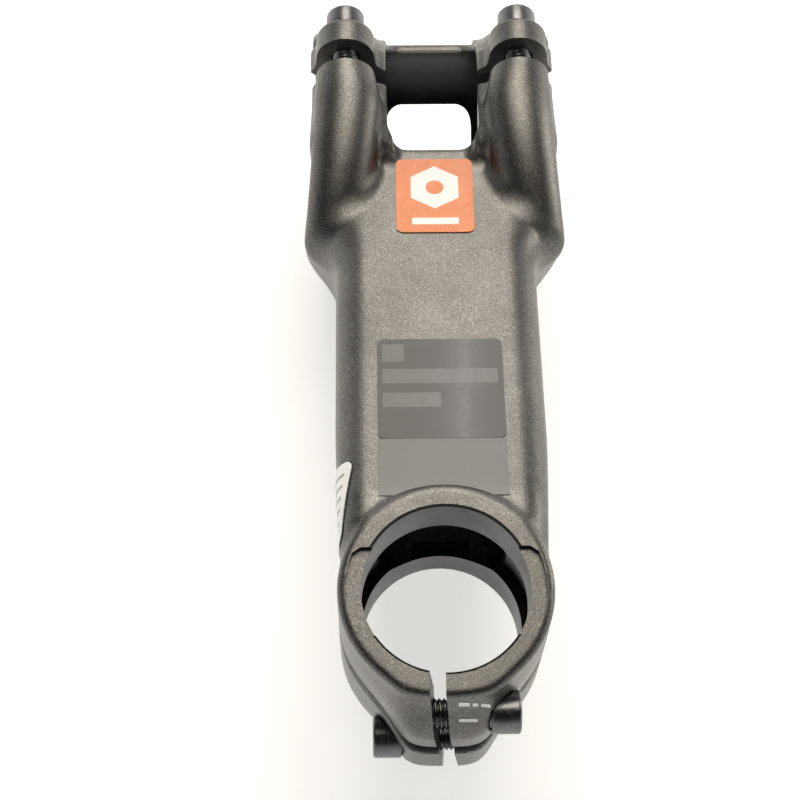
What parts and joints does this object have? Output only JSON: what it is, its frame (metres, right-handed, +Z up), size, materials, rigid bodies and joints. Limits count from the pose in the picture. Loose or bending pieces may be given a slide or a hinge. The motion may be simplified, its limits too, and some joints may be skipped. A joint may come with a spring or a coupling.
{
  "type": "handlebar stem",
  "caption": "Black threadless bicycle stem: hollow forged body, split steerer clamp with a slanted slot, open-centre faceplate with bolted straps.",
  "frame": {"origin": "on the steerer axis at the middle of its clamp", "axes": "+Z up along the steerer axis, +Y forward towards the handlebar, +X to the rider's right"},
  "size_m": [0.0496, 0.1502, 0.0719],
  "materials": {
    "black_anodised": "bead-blasted black anodised aluminium, machined bore",
    "faceplate_anodised": "bead-blasted black anodised aluminium",
    "bolt_steel": "black oxide alloy steel, glossy",
    "gloss_black": "clear gloss over black",
    "orange_vinyl": "glossy printed vinyl",
    "white_vinyl": "glossy printed vinyl"
  },
  "bodies": {
    "stem": {"stem_body": "black_anodised", "gloss_panel": "gloss_black", "orange_sticker": "orange_vinyl", "side_label": "white_vinyl"},
    "faceplate": {"faceplate": "faceplate_anodised"},
    "faceplate_bolt_upper_left": {"faceplate_bolt_upper_left": "bolt_steel"},
    "faceplate_bolt_upper_right": {"faceplate_bolt_upper_right": "bolt_steel"},
    "faceplate_bolt_lower_left": {"faceplate_bolt_lower_left": "bolt_steel"},
    "faceplate_bolt_lower_right": {"faceplate_bolt_lower_right": "bolt_steel"},
    "steerer_bolt_upper": {"steerer_bolt_upper": "bolt_steel"},
    "steerer_bolt_lower": {"steerer_bolt_lower": "bolt_steel"}
  },
  "joints": [
    {"name": "faceplate_pull_off", "type": "slide", "parent": "stem", "child": "faceplate", "axis": [0, 0.9744, -0.225], "range_m": [0, 0.02]},
    {"name": "faceplate_bolt_upper_left_turn", "type": "hinge", "parent": "faceplate", "child": "faceplate_bolt_upper_left", "pos_m": [-0.0168, 0.11856, -0.00613], "axis": [0, 0.9744, -0.225], "continuous": true},
    {"name": "faceplate_bolt_upper_right_turn", "type": "hinge", "parent": "faceplate", "child": "faceplate_bolt_upper_right", "pos_m": [0.0168, 0.11856, -0.00613], "axis": [0, 0.9744, -0.225], "continuous": true},
    {"name": "faceplate_bolt_lower_left_turn", "type": "hinge", "parent": "faceplate", "child": "faceplate_bolt_lower_left", "pos_m": [-0.0168, 0.10925, -0.04647], "axis": [0, 0.9744, -0.225], "continuous": true},
    {"name": "faceplate_bolt_lower_right_turn", "type": "hinge", "parent": "faceplate", "child": "faceplate_bolt_lower_right", "pos_m": [0.0168, 0.10925, -0.04647], "axis": [0, 0.9744, -0.225], "continuous": true},
    {"name": "steerer_bolt_upper_turn", "type": "hinge", "parent": "stem", "child": "steerer_bolt_upper", "pos_m": [0.0075, -0.019, 0.01], "axis": [1, 0, 0], "continuous": true},
    {"name": "steerer_bolt_lower_turn", "type": "hinge", "parent": "stem", "child": "steerer_bolt_lower", "pos_m": [-0.0075, -0.019, -0.01], "axis": [-1, 0, 0], "continuous": true}
  ]
}
